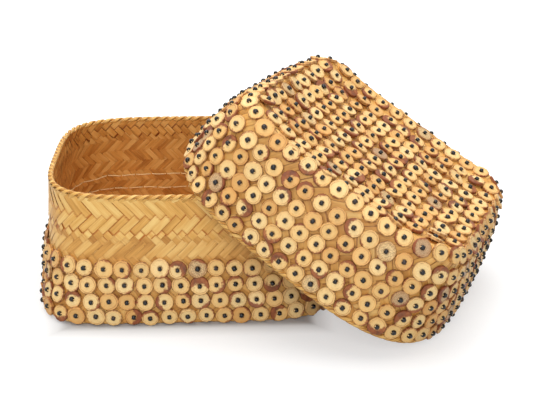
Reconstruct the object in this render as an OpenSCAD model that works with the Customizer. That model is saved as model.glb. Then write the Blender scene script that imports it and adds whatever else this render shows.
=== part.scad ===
// Lidded plaited basket dressed with coconut shell disks, its lid taken off and leaning on the base.
// The base stands on z = 0 with its middle at the origin and its front facing -Y.

/* [Base] */
// Width of the base across its foot
base_w = 210; // [190:1:230]
// Depth of the base across its foot
base_d = 206; // [186:1:226]
// Height of the base with its rim
base_h = 94.5; // [88:0.5:104]
// How far each side of the base leans in between foot and rim
base_lean = 6; // [3:0.5:8]
// Squareness of the base's outline at its rim, 2 is an ellipse
base_square = 4; // [3:0.1:5]
// Squareness of the base's outline at its foot
foot_square = 6; // [4:0.1:7]
// Rounding of the base's bottom edge
foot_round = 3; // [1.5:0.5:5]

/* [Lid] */
// Room across the width between the base's rim and the lid's mouth
lid_play_w = 8.5; // [6:0.5:10]
// Room across the depth between the base's rim and the lid's mouth
lid_play_d = 8; // [6:0.5:10]
// Height of the lid from its mouth to its top edge
lid_h = 67; // [62:0.5:74]
// How far the lid's walls lean in for each millimetre of height
lid_lean = 0.3; // [0.2:0.01:0.36]
// How far the lid's walls bow out at half height
lid_bow = 3.2; // [0:0.1:5]
// Squareness of the lid's outline at its mouth, 2 is an ellipse
lid_square = 3.15; // [2.6:0.05:4]
// Squareness of the lid's outline at its top
top_square = 5.5; // [4:0.1:6]
// How far the corners of the lid's top stand up above the middles of its edges
corner_rise = 5; // [0:0.5:6]
// How far the middle of the lid's top sags below its edge
top_sag = 7; // [2:0.5:10]
// Rounding of the lid's top edge
top_round = 3; // [1.5:0.5:5]

/* [Lid leaning on the base] */
// Tilt of the lid from level
lean_angle = 31; // [27:0.5:34]
// Turn of the lid about the vertical
turn_angle = -27.2; // [-32:0.1:-22]
// Room between the lid's mouth and the base's rim where they cross
lean_gap = 0.3; // [0.2:0.1:3]

/* [Plaiting] */
// Thickness of the outer plaited layer
outer_t = 1.1; // [0.9:0.1:1.4]
// Thickness of the inner plaited layer
inner_t = 0.9; // [0.7:0.1:1.2]
// Gap between the two layers
layer_gap = 0.2; // [0.1:0.05:0.4]
// Height of the base's braided rim
base_rim_h = 3.6; // [2.6:0.2:5]
// Height of the lid's twisted rim
lid_rim_h = 2.6; // [2.4:0.2:3]
// How far the rims stand out past the walls
rim_out = 0.6; // [0.4:0.1:1]
// How far the rims stand in past the walls
rim_in = 0.3; // [0.2:0.1:0.6]

/* [Coconut disks] */
// Diameter of a disk
disk_d = 11.4; // [9:0.1:11.5]
// Thickness of a disk
disk_t = 2; // [1.4:0.1:2.6]
// Diameter of the hole through a disk
disk_hole_d = 3; // [2.8:0.1:3.4]
// Gap between a disk and the plaiting under it
disk_seat = 0.2; // [0.1:0.05:0.4]
// Spacing of the disks along a row
disk_pitch = 12.7; // [12.2:0.1:14]
// Height of the lowest row's middle above the foot
base_row_z = 6.5; // [6:0.1:8]
// Spacing of the rows up the base's wall
base_row_pitch = 11.9; // [11.6:0.1:13]
// Distance of the lid's first row from the mouth
lid_row_z = 8; // [7.4:0.1:10]
// Spacing of the rows up the lid's wall
lid_row_pitch = 11.7; // [11.6:0.1:11.9]
// How much further the lid's last row tips over its top edge, as a slope
ridge_tip = 0.4; // [0:0.05:0.6]
// Distance from the edge of the lid's top to the middle of its outermost disks
top_margin = 8.8; // [8:0.2:12]
// Spacing of the rows across the lid's top
top_row_pitch = 13.4; // [12.2:0.1:14]

/* [Beads and thread] */
// Diameter of a seed bead
bead_d = 3.4; // [3.2:0.1:4]
// Length of a seed bead along its hole
bead_l = 1.7; // [1.4:0.1:1.7]
// Diameter of the hole through a bead
bead_hole_d = 1; // [0.9:0.1:1.2]
// Gap between a bead and its disk
bead_seat = 0.05; // [0.02:0.01:0.1]
// Width of the flat thread
thread_w = 0.6; // [0.4:0.05:0.65]
// Thickness of the flat thread
thread_t = 0.4; // [0.3:0.05:0.5]

/* [Hidden] */

// Colours of the materials
plait_colour = "#c99a4e";
liner_colour = "#b07a35";
rim_colour = "#b98a45";
disk_colour = "#d9b27a";
bead_colour = "#1c1a1c";
thread_colour = "#d8c39a";

// Rows of disks round the base and round the lid
base_rows = 4;
lid_rows = 6;
// Share of a rim's height that its slanted edges take
edge_share = 0.3;
// The rounded foot as steps: share of its height, and share of it by which the outline is drawn in
foot_steps = [[0, 0.8], [0.3, 0.25], [1, 0]];
// Disks of the top and of the last row below it stand off by this much more, because the ridge and the
// sagging top curve up under their edges
top_lift = 0.5;
// Disks of the top further apart than this many spacings aren't sewn in one run
run_reach = 1.2;
// Heights of the outlines up the base's wall, as shares of its height above the rounded foot
base_wall_steps = [0.08, 0.16, 0.26, 0.38, 0.52, 0.7, 1];
// Points round each outline of the plaited layers
ring_points = 44;
// Points along an outline on which lengths are measured
measure_points = 180;
// Halvings when a crossing is searched for
halvings = 30;
// Where each row starts along its outline, from the middle of the front
base_row_start = [6.5, 7.8, 9, 12.1];
lid_row_start = [-2, -3.5, -2.4, -0.4, -2.5, 1];
// Middle of the top's disk nearest to the middle of the lid
top_start = [1.2, 2.9];

wall_t = outer_t + layer_gap + inner_t;
bead_drop = sqrt(pow(bead_d / 2, 2) - pow(disk_hole_d / 2, 2));
bead_z = disk_seat + disk_t + bead_drop + bead_seat;
// The thread's legs run down beside the bead, through the disk's hole
leg_clear = 0.05;
leg_in = bead_l / 2 + leg_clear;
leg_out = leg_in + thread_t;
// Each stitch stops just short of the next one's leg, and lies just off the inside of the wall
stitch_gap = 0.4;
stitch_off = 0.05;
stitch_depth = wall_t + stitch_off;

base_a = base_w / 2;
base_b = base_d / 2;
rim_a = base_a - base_lean;
rim_b = base_b - base_lean;
base_wall_h = base_h - base_rim_h;
mouth_a = rim_a + wall_t + lid_play_w;
mouth_b = rim_b + wall_t + lid_play_d;
// Heights of the outlines up the lid's wall, as shares of the wall
lid_wall_steps = [0, 0.25, 0.5, 0.75, 1];
// Sizes of the outlines over the lid's top, as shares of its edge
top_steps = [0.93, 0.8, 0.6, 0.35, 0.1];
lid_wall_top = lid_h - top_round;

// One point of a superellipse, by angle from the middle of the front
function outline_point(a, b, square, angle) =
    let (x = sin(angle), y = -cos(angle))
    [a * sign(x) * pow(abs(x), 2 / square), b * sign(y) * pow(abs(y), 2 / square)];

// Points round an outline, which rises towards its corners
function ring(a, b, square, z, rise = 0) =
    [for (i = [0 : ring_points - 1])
        let (angle = i * 360 / ring_points, p = outline_point(a, b, square, angle))
        [p.x, p.y, z + rise * pow(sin(2 * angle), 2)]];

// Lengths along an outline with the x and y reached there
function measured(a, b, square) =
    let (points = [for (i = [0 : measure_points]) outline_point(a, b, square, i * 360 / measure_points)],
         lengths = [for (i = 0, s = 0; i <= measure_points;
                         i = i + 1, s = i > measure_points ? s : s + norm(points[i] - points[i - 1])) s])
    [[for (i = [0 : measure_points]) [lengths[i], points[i].x]],
     [for (i = [0 : measure_points]) [lengths[i], points[i].y]],
     lengths[measure_points]];

function unit(v) = v / norm(v);

// How far the base's wall lies inside its foot at a height
function base_in(z) = base_lean * z / base_h;

// Squareness of the base's outline at a height, and how fast it grows there
function base_square_at(z) = base_square + (foot_square - base_square) * pow(1 - z / base_h, 4);
function base_square_growth(z) = -4 * (foot_square - base_square) * pow(1 - z / base_h, 3) / base_h;

// How far the lid's wall lies inside its mouth at a height, and the slope there
function lid_in(z) =
    let (w = z / lid_h)
    lid_lean * z - 4 * lid_bow * w * (1 - w);
function lid_slope(z) = lid_lean - 4 * lid_bow * (1 - 2 * z / lid_h) / lid_h;

// Squareness of the lid's outline at a height, how fast it grows there, and how far the corners rise
function lid_square_at(z) = lid_square + (top_square - lid_square) * pow(z / lid_h, 2);
function square_growth(z) = 2 * (top_square - lid_square) * z / pow(lid_h, 2);
function lid_rise(z) = corner_rise * pow(z / lid_h, 2);

// Nearness of a point on an outline to a corner, 0 in the middle of a side and 1 at the corner
function cornering(p, a, b, square) = 4 * pow(abs(p.x * p.y) / (a * b), square);

top_a = mouth_a - lid_in(lid_h);
top_b = mouth_b - lid_in(lid_h);

// Share of the way from the middle of the top to its edge, and the height of the sagging top there
function top_share(x, y) =
    pow(pow(abs(x / top_a), top_square) + pow(abs(y / top_b), top_square), 1 / top_square);
function top_z(share) = lid_h - top_sag * (1 - pow(share, 4));
function top_height(x, y) =
    let (share = top_share(x, y))
    top_z(share) + corner_rise * pow(share, 4) * cornering([x, y] / share, top_a, top_b, top_square);

// Outward direction of a wall that leans in with a slope, and whose squareness may grow with its height
function wall_out(p, a, b, square, slope, growth = 0) =
    let (tiny = 0.000001,
         sx = max(abs(p.x / a), tiny),
         sy = max(abs(p.y / b), tiny),
         lean = slope * (pow(sx, square) / a + pow(sy, square) / b),
         turn = growth / square * (pow(sx, square) * ln(sx) + pow(sy, square) * ln(sy)))
    unit([pow(sx, square - 1) * sign(p.x) / a, pow(sy, square - 1) * sign(p.y) / b, lean + turn]);

// Seats of one row of disks: each has its point on the wall, the direction of the row, the way out and
// how far the disk is lifted off the wall
function row_seats(a, b, square, slope, z, start, growth = 0, rise = 0, lift = 0) =
    let (m = measured(a, b, square),
         count = round(m[2] / disk_pitch),
         step = m[2] / count)
    [for (i = [0 : count - 1])
        let (s = (start + i * step + m[2]) % m[2],
             p = [lookup(s, m[0]), lookup(s, m[1])],
             out = wall_out(p, a, b, square, slope, growth))
        [[p.x, p.y, z + rise * cornering(p, a, b, square)], unit([-out.y, out.x, 0]), out, lift]];

function base_seats(row) =
    let (z = base_row_z + (base_rows - row) * base_row_pitch)
    row_seats(base_a - base_in(z), base_b - base_in(z), base_square_at(z), base_lean / base_h, z,
              base_row_start[row - 1], base_square_growth(z));

// Height of a lid row, each one pitch further up the slope than the last
function lid_row_height(row) =
    row == 1 ? lid_row_z :
    let (below = lid_row_height(row - 1))
    below + lid_row_pitch / norm([1, lid_slope(below + lid_row_pitch / 2)]);

function lid_seats(row) =
    let (z = lid_row_height(row), last = row == lid_rows, slope = lid_slope(z) + (last ? ridge_tip : 0))
    row_seats(mouth_a - lid_in(z), mouth_b - lid_in(z), lid_square_at(z), slope, z,
              lid_row_start[row - 1], square_growth(z), lid_rise(z), last ? top_lift : 0);

// Way out of the sagging top at a point
function top_out(x, y) =
    let (d = 0.1)
    unit([(top_height(x - d, y) - top_height(x + d, y)) / (2 * d),
          (top_height(x, y - d) - top_height(x, y + d)) / (2 * d), 1]);

// Seats of the disks on the lid's top, in rows and columns, where a whole disk fits
top_half_count = ceil(max(top_a, top_b) / disk_pitch);
top_limit = 1 - top_margin / top_b;
top_seats =
    [for (j = [-top_half_count : top_half_count], i = [-top_half_count : top_half_count])
        let (x = top_start.x + i * disk_pitch, y = top_start.y + j * top_row_pitch, share = top_share(x, y))
        if (share < top_limit)
            let (out = top_out(x, y), across = cross(out, [1, 0, 0]))
            [[x, y, top_height(x, y)], unit(cross(across, out)), out, top_lift]];

// Where the lid leans: its mouth's edge on the floor, its two long walls either side of the base's rim
cord_edge = lid_rim_h * edge_share;
cord_a = mouth_a - lid_in(lid_rim_h) + rim_out;
lean_z = max(cord_a * sin(lean_angle) - cord_edge * cos(lean_angle),
             (cord_a - cord_edge) * sin(lean_angle));
cross_back = (base_h - lean_z) / sin(lean_angle);
mouth_in_a = mouth_a - wall_t - rim_in;
mouth_in_b = mouth_b - wall_t - rim_in;
cross_half = mouth_in_b * pow(1 - pow(cross_back / mouth_in_a, lid_square), 1 / lid_square) - lean_gap;
along_lid = [cos(turn_angle), sin(turn_angle)];
across_lid = [-sin(turn_angle), cos(turn_angle)];

function inside_rim(p) =
    pow(abs(p.x / (rim_a + rim_out)), base_square) + pow(abs(p.y / (rim_b + rim_out)), base_square) < 1;

// Distance across the lid from its middle line to the base's rim, on the side given by way
function rim_reach(u, way, low = 0, high = 400, n = halvings) =
    n == 0 ? low :
    let (mid = (low + high) / 2, p = u * along_lid + way * mid * across_lid)
    inside_rim(p) ? rim_reach(u, way, mid, high, n - 1) : rim_reach(u, way, low, mid, n - 1);

// Distance along the lid at which the base's rim is as wide as the lid's mouth has room for
function cross_place(low, high, n = halvings) =
    n == 0 ? low :
    let (mid = (low + high) / 2)
    rim_reach(mid, 1) + rim_reach(mid, -1) > 2 * cross_half ?
        cross_place(mid, high, n - 1) : cross_place(low, mid, n - 1);

cross_u = cross_place(0, rim_a);
cross_v = (rim_reach(cross_u, 1) - rim_reach(cross_u, -1)) / 2;
lean_xy = (cross_u + cross_back * cos(lean_angle)) * along_lid + cross_v * across_lid;

// Faces between outlines, closed by the first and the last outline
module loft(rings) {
    n = ring_points;
    sides = [for (k = [0 : len(rings) - 2], i = [0 : n - 1])
        let (j = (i + 1) % n) [k * n + i, (k + 1) * n + i, (k + 1) * n + j, k * n + j]];
    bottom = [for (i = [0 : n - 1]) i];
    top = [for (i = [n - 1 : -1 : 0]) (len(rings) - 1) * n + i];
    polyhedron([for (r = rings) each r], concat([bottom], sides, [top]), convexity = 6);
}

// Faces between outlines that close on themselves, as round a ring
module loop(rings) {
    n = ring_points;
    m = len(rings);
    sides = [for (k = [0 : m - 1], i = [0 : n - 1])
        let (j = (i + 1) % n, l = (k + 1) % m) [k * n + i, l * n + i, l * n + j, k * n + j]];
    polyhedron([for (r = rings) each r], sides, convexity = 6);
}

function base_ring(z, inset) =
    ring(base_a - base_in(z) - inset, base_b - base_in(z) - inset, base_square_at(z), z);

// Outlines of one face of the base, round the foot and up the wall, at a depth inside the base
function base_face(depth) =
    let (low = depth + foot_round)
    concat(
        [for (s = foot_steps) base_ring(depth + foot_round * s[0], depth + foot_round * s[1])],
        [for (w = base_wall_steps) base_ring(low + w * (base_wall_h - low), depth)]);

module base_layer(depth, thick) {
    inside = base_face(depth + thick);
    last = len(inside) - 1;
    loft(concat(base_face(depth), [for (k = [last : -1 : 0]) inside[k]]));
}

module base_outer_plait() color(plait_colour) base_layer(0, outer_t);

module base_inner_plait() color(liner_colour) base_layer(outer_t + layer_gap, inner_t);

// Round-edged ring over both layers of a wall, from a low to a high height
module rim_ring(a, b, square, low, high) {
    out = rim_out;
    inn = wall_t + rim_in;
    edge = (high - low) * edge_share;
    loop([
        ring(a, b, square, low),
        ring(a + out, b + out, square, low + edge),
        ring(a + out, b + out, square, high - edge),
        ring(a + out - edge, b + out - edge, square, high),
        ring(a - inn + edge, b - inn + edge, square, high),
        ring(a - inn, b - inn, square, high - edge),
        ring(a - inn, b - inn, square, low + edge),
        ring(a - wall_t, b - wall_t, square, low)
    ]);
}

module base_rim_braid() {
    inset = base_in(base_wall_h);
    square = base_square_at(base_wall_h);
    color(rim_colour) rim_ring(base_a - inset, base_b - inset, square, base_wall_h, base_h);
}

// Places what belongs to the lid where it leans
module leaning() {
    translate([lean_xy.x, lean_xy.y, lean_z]) rotate([0, lean_angle, turn_angle]) children();
}

// Outlines of one face of the lid, from the mouth up the wall and over the top, at a depth inside the lid
function lid_face(depth) =
    let (squeeze = (lid_wall_top - depth - lid_rim_h) / (lid_wall_top - lid_rim_h))
    concat(
        [for (w = lid_wall_steps)
            let (z = lid_rim_h + w * (lid_wall_top - lid_rim_h), inset = lid_in(z) + depth)
            ring(mouth_a - inset, mouth_b - inset, lid_square_at(z), lid_rim_h + (z - lid_rim_h) * squeeze,
                 lid_rise(z))],
        [for (k = top_steps)
            ring(k * (top_a - depth), k * (top_b - depth), top_square, top_z(k) - depth,
                 corner_rise * pow(k, 4))]);

module lid_layer(depth, thick) {
    inside = lid_face(depth + thick);
    last = len(inside) - 1;
    loft(concat([for (k = [last : -1 : 0]) inside[k]], lid_face(depth)));
}

module lid_outer_plait() color(plait_colour) leaning() lid_layer(0, outer_t);

module lid_inner_plait() color(liner_colour) leaning() lid_layer(outer_t + layer_gap, inner_t);

module lid_rim_cord() {
    inset = lid_in(lid_rim_h);
    // Turned over, so that its flat side lies on the wall's edge
    color(rim_colour) leaning()
        translate([0, 0, lid_rim_h]) rotate([180, 0, 0])
            rim_ring(mouth_a - inset, mouth_b - inset, lid_square_at(lid_rim_h), 0, lid_rim_h);
}

// Places what is sewn on at a seat: local y runs along the row and local z points out of the wall
module at_seat(seat) {
    p = seat[0];
    y = seat[1];
    z = seat[2];
    x = cross(y, z);
    multmatrix([
        [x.x, y.x, z.x, p.x],
        [x.y, y.y, z.y, p.y],
        [x.z, y.z, z.z, p.z]
    ]) children();
}

module disk() {
    translate([0, 0, disk_seat]) difference() {
        cylinder(d = disk_d, h = disk_t, $fn = 40);
        translate([0, 0, -disk_t]) cylinder(d = disk_hole_d, h = 3 * disk_t, $fn = 24);
    }
}

// Seed bead lying on its disk's hole, with its own hole along the row
module bead() {
    translate([0, 0, bead_z]) rotate([90, 0, 0]) rotate_extrude($fn = 32) intersection() {
        circle(d = bead_d, $fn = 32);
        translate([bead_hole_d / 2, -bead_l / 2]) square([bead_d, bead_l]);
    }
}

// Point on the inside of the wall behind a seat, just short of the thread's leg there
function behind(seat) = seat[0] - seat[2] * stitch_depth + seat[1] * (leg_in - stitch_gap);

// Flat thread through the bead, down beside it through disk and wall, and along the inside to a point
module stitch(seat, goal) {
    goal_y = (goal - seat[0]) * seat[1];
    goal_z = (goal - seat[0]) * seat[2];
    top = seat[3] + bead_z + thread_t / 2;
    rotate([90, 0, 90]) linear_extrude(thread_w, center = true) polygon([
        [-bead_l / 2, top], [leg_out, top], [leg_out, -stitch_depth], [goal_y, goal_z],
        [goal_y, goal_z - thread_t], [leg_in, -stitch_depth - thread_t],
        [leg_in, top - thread_t], [-bead_l / 2, top - thread_t]
    ]);
}

module disks(seats) color(disk_colour) for (seat = seats) at_seat(seat) translate([0, 0, seat[3]]) disk();
module beads(seats) color(bead_colour) for (seat = seats) at_seat(seat) translate([0, 0, seat[3]]) bead();

// Thread of a row that goes all the way round
module thread(seats) {
    count = len(seats);
    color(thread_colour) for (i = [0 : count - 1])
        at_seat(seats[i]) stitch(seats[i], behind(seats[(i + 1) % count]));
}

// Thread of the top's rows, which ends with a short tail behind the last disk of each row
module top_thread() {
    color(thread_colour) for (i = [0 : len(top_seats) - 1]) {
        seat = top_seats[i];
        next = top_seats[i + 1];
        tail = seat[0] - seat[2] * stitch_depth + seat[1] * disk_d / 2;
        follows = !is_undef(next) && norm(next[0] - seat[0]) < run_reach * disk_pitch;
        at_seat(seat) stitch(seat, follows ? behind(next) : tail);
    }
}

module base_disks(row) disks(base_seats(row));
module base_beads(row) beads(base_seats(row));
module base_thread(row) thread(base_seats(row));
module lid_disks(row) leaning() disks(lid_seats(row));
module lid_beads(row) leaning() beads(lid_seats(row));
module lid_thread(row) leaning() thread(lid_seats(row));
module lid_top_disks() leaning() disks(top_seats);
module lid_top_beads() leaning() beads(top_seats);
module lid_top_thread() leaning() top_thread();

base_outer_plait();
base_inner_plait();
base_rim_braid();
lid_outer_plait();
lid_inner_plait();
lid_rim_cord();
base_disks(1);  // base_disks_row_1
base_disks(2);  // base_disks_row_2
base_disks(3);  // base_disks_row_3
base_disks(4);  // base_disks_row_4
base_beads(1);  // base_beads_row_1
base_beads(2);  // base_beads_row_2
base_beads(3);  // base_beads_row_3
base_beads(4);  // base_beads_row_4
base_thread(1);  // base_thread_row_1
base_thread(2);  // base_thread_row_2
base_thread(3);  // base_thread_row_3
base_thread(4);  // base_thread_row_4
lid_disks(1);  // lid_disks_row_1
lid_disks(2);  // lid_disks_row_2
lid_disks(3);  // lid_disks_row_3
lid_disks(4);  // lid_disks_row_4
lid_disks(5);  // lid_disks_row_5
lid_disks(6);  // lid_disks_row_6
lid_beads(1);  // lid_beads_row_1
lid_beads(2);  // lid_beads_row_2
lid_beads(3);  // lid_beads_row_3
lid_beads(4);  // lid_beads_row_4
lid_beads(5);  // lid_beads_row_5
lid_beads(6);  // lid_beads_row_6
lid_thread(1);  // lid_thread_row_1
lid_thread(2);  // lid_thread_row_2
lid_thread(3);  // lid_thread_row_3
lid_thread(4);  // lid_thread_row_4
lid_thread(5);  // lid_thread_row_5
lid_thread(6);  // lid_thread_row_6
lid_top_disks();
lid_top_beads();
lid_top_thread();
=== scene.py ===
"""Looks of a plaited basket dressed with coconut shell disks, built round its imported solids.

Lengths are millimetres until a mesh is made, and metres from there on.
"""
import math

import bpy
import numpy as np
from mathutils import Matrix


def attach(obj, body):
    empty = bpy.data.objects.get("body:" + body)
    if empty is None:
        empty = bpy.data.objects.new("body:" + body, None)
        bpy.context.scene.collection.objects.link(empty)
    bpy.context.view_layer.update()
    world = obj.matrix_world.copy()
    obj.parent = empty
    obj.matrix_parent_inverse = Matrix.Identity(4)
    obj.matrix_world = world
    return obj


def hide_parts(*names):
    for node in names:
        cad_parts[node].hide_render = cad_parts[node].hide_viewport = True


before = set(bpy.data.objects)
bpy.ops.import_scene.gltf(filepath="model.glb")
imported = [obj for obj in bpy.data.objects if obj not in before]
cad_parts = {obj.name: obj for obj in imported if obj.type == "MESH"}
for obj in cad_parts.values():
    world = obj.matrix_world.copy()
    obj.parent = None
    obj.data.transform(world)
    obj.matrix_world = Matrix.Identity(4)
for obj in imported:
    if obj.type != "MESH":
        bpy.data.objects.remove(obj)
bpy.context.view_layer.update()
MM = 0.001

# Base: half sizes at the foot, height, lean of the walls, squareness of the outline and rounding of the foot
base_a = 105
base_b = 103
base_h = 94.5
base_lean = 6
base_square = 4
foot_square = 6
foot_round = 3
foot_draw = 2.4
base_rim_h = 3.6

# Lid: half sizes at the mouth, height, lean and bow of the walls, squareness at mouth and top, and the top's form
mouth_a = 109.7
mouth_b = 107.2
lid_h = 67
lid_lean = 0.3
lid_bow = 3.2
lid_square = 3.15
top_square = 5.5
corner_rise = 5
top_sag = 7
top_round = 3
lid_rim_h = 2.6
lean_angle = math.radians(31)
turn_angle = math.radians(-27.2)

# Layers of the walls, and what is sewn on
outer_t = 1.1
layer_gap = 0.2
inner_t = 0.9
wall_t = outer_t + layer_gap + inner_t
disk_t = 2
disk_pitch = 12.7
stitch_depth = 4.1

# Plaiting: width of a strip with its gap, share of it that the strip fills, and how far strips rise and fall
strip_pitch = 5.2
lining_pitch = 4.4
strip_fill = 1.0
strip_wave = 0.3
flat_wave = 0.13
lid_wave = 0.2
strip_crown = 0.12
strip_tilt = 0.08
strip_steps = 4
row_hold = 0.12


def outline(half_w, half_d, square, turn):
    """Superellipse: x is the half width times the sine of the turn to the power 2 / square, y the same with -cosine."""
    x = np.sin(turn)
    y = -np.cos(turn)
    power = 2 / square
    return half_w * np.sign(x) * np.abs(x) ** power, half_d * np.sign(y) * np.abs(y) ** power


def quarter_turn(quarters):
    """Turn for a count of quarters: within each quarter it follows the squared sine, which spaces points evenly."""
    whole = np.floor(quarters)
    return math.pi / 2 * (whole + np.sin((quarters - whole) * math.pi / 2) ** 2)


def measured(half_w, half_d, square):
    """Length round an outline, with the shares of it and the quarters that reach them, by summing short chords."""
    quarters = np.linspace(0, 4, 4001)
    x, y = outline(half_w, half_d, square, quarter_turn(quarters))
    lengths = np.concatenate([[0], np.cumsum(np.hypot(np.diff(x), np.diff(y)))])
    return lengths[-1], lengths / lengths[-1], quarters


def base_square_at(height):
    """Squareness of the base's outline: it falls from foot to rim with the fourth power of the height left."""
    return base_square + (foot_square - base_square) * np.clip(1 - height / base_h, 0, 1) ** 4


base_round, base_shares, base_quarters = measured(base_a - base_lean / 2, base_b - base_lean / 2,
                                                  base_square_at(base_h / 2))
lid_inset_mid = lid_lean * lid_h / 2 - lid_bow
lid_square_mid = lid_square + (top_square - lid_square) / 4
lid_round, lid_shares, lid_quarters = measured(mouth_a - lid_inset_mid, mouth_b - lid_inset_mid, lid_square_mid)


def base_wall(share, height, depth):
    """Point of the base's wall at a share of the way round and a height, at a depth inside its outside."""
    turn = quarter_turn(np.interp(share % 1, base_shares, base_quarters))
    foot = np.clip(1 - (height - depth) / foot_round, 0, 1)
    inset = base_lean * height / base_h + foot_draw * (1 - np.sqrt(1 - foot ** 2)) + depth
    x, y = outline(base_a - inset, base_b - inset, base_square_at(height), turn)
    return np.stack([x, y, height + 0 * x], -1)


def base_floor(x, y, depth):
    """Point of the base's floor, at a depth above its underside."""
    return np.stack([x, y, depth + 0 * x], -1)


def lid_in(z):
    """How far the lid's wall lies inside its mouth: a straight lean less a bow that is greatest half way up."""
    w = z / lid_h
    return lid_lean * z - 4 * lid_bow * w * (1 - w)


top_a = mouth_a - lid_in(lid_h)
top_b = mouth_b - lid_in(lid_h)
top_edge = 0.93


def top_z(share):
    """Height of the sagging top: it falls from the edge to the middle with the fourth power of the share."""
    return lid_h - top_sag * (1 - share ** 4)


def lid_section():
    """Section of the lid by the length up it: up the wall, then over the ridge on a quadratic curve.

    Gives the length with the inset, the height, the slopes of both, the squareness of the outline and the share of
    the corners' rise there. Squareness and rise grow with the square of the height.
    """
    wall_z = np.linspace(lid_rim_h / 2, lid_h - top_round, 80)
    over = np.linspace(0, 1, 30)[1:]
    up_share = (wall_z / lid_h) ** 2
    start = np.array([lid_in(wall_z[-1]), wall_z[-1]])
    crest = np.array([mouth_a - top_a + 0.4, lid_h])
    end = np.array([mouth_a - top_edge * top_a, top_z(top_edge)])
    ridge = [(1 - over) ** 2 * start[k] + 2 * over * (1 - over) * crest[k] + over ** 2 * end[k] for k in (0, 1)]
    inset = np.concatenate([lid_in(wall_z), ridge[0]])
    height = np.concatenate([wall_z, ridge[1]])
    way = np.concatenate([[0], np.cumsum(np.hypot(np.diff(inset), np.diff(height)))])
    square = lid_square + (top_square - lid_square) * np.concatenate([up_share, up_share[-1] + (1 - up_share[-1]) * over])
    rise = np.concatenate([up_share, up_share[-1] + (top_edge ** 4 - up_share[-1]) * over])
    return way, inset, height, np.gradient(height, way), np.gradient(inset, way), square, rise


lid_way, lid_insets, lid_heights, lid_out, lid_up, lid_squares, lid_rises = lid_section()
lid_wall_way = lid_way[-1]

# The lid's place: turned and leaned as in the source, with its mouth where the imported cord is
lid_turn = np.array([[math.cos(turn_angle), -math.sin(turn_angle), 0],
                     [math.sin(turn_angle), math.cos(turn_angle), 0],
                     [0, 0, 1]])
lid_tilt = np.array([[math.cos(lean_angle), 0, math.sin(lean_angle)],
                     [0, 1, 0],
                     [-math.sin(lean_angle), 0, math.cos(lean_angle)]])
lid_axes = lid_turn @ lid_tilt


def node_corners(node):
    """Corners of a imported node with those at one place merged, and its triangles on them."""
    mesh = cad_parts[node].data
    points = np.empty(len(mesh.vertices) * 3)
    mesh.vertices.foreach_get("co", points)
    mesh.calc_loop_triangles()
    corners = np.empty(len(mesh.loop_triangles) * 3, np.int32)
    mesh.loop_triangles.foreach_get("vertices", corners)
    merged, place = np.unique(np.round(points.reshape(-1, 3) / MM, 3), axis=0, return_inverse=True)
    return merged, place.ravel()[corners].reshape(-1, 3)


lid_home = node_corners("lid_rim_cord")[0].mean(0) - lid_axes @ [0, 0, lid_rim_h / 2]


def leaning(points):
    """Points of the lid, carried from the lid's own axes to where it leans."""
    return points @ lid_axes.T + lid_home


def lid_wall(share, way, depth):
    """Point of the lid's wall at a share of the way round and a length up its section, at a depth below the skin."""
    turn = quarter_turn(np.interp(share % 1, lid_shares, lid_quarters))
    inset = np.interp(way, lid_way, lid_insets) + depth * np.interp(way, lid_way, lid_out)
    height = np.interp(way, lid_way, lid_heights) - depth * np.interp(way, lid_way, lid_up)
    rise = corner_rise * np.interp(way, lid_way, lid_rises) * np.sin(2 * turn) ** 2
    x, y = outline(mouth_a - inset, mouth_b - inset, np.interp(way, lid_way, lid_squares), turn)
    return leaning(np.stack([x, y, height + rise + 0 * x], -1))


def lid_top(x, y, depth):
    """Point of the lid's sagging top, at a depth below its skin. Its corners rise with the share's fourth power."""
    share = (np.abs(x / top_a) ** top_square + np.abs(y / top_b) ** top_square) ** (1 / top_square)
    share = np.maximum(share, 0.001)
    cornering = 4 * (np.abs(x * y) / (top_a * top_b * share ** 2)) ** top_square
    return leaning(np.stack([x, y, top_z(share) + corner_rise * share ** 4 * cornering - depth], -1))


def grid_faces(grids, long, cross, close_long=False, close_cross=False, flip=False):
    """Four-cornered faces of a number of grids of long by cross points, joined up where they close."""
    along = np.arange(long if close_long else long - 1)
    over = np.arange(cross if close_cross else cross - 1)
    start = np.arange(grids)[:, None, None] * long * cross
    here = start + along[:, None] * cross
    there = start + (along[:, None] + 1) % long * cross
    right = (over + 1) % cross
    corners = [here + over, here + right, there + right, there + over]
    faces = np.stack(np.broadcast_arrays(*corners), -1).reshape(-1, 4)
    return faces[:, ::-1] if flip else faces


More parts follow.
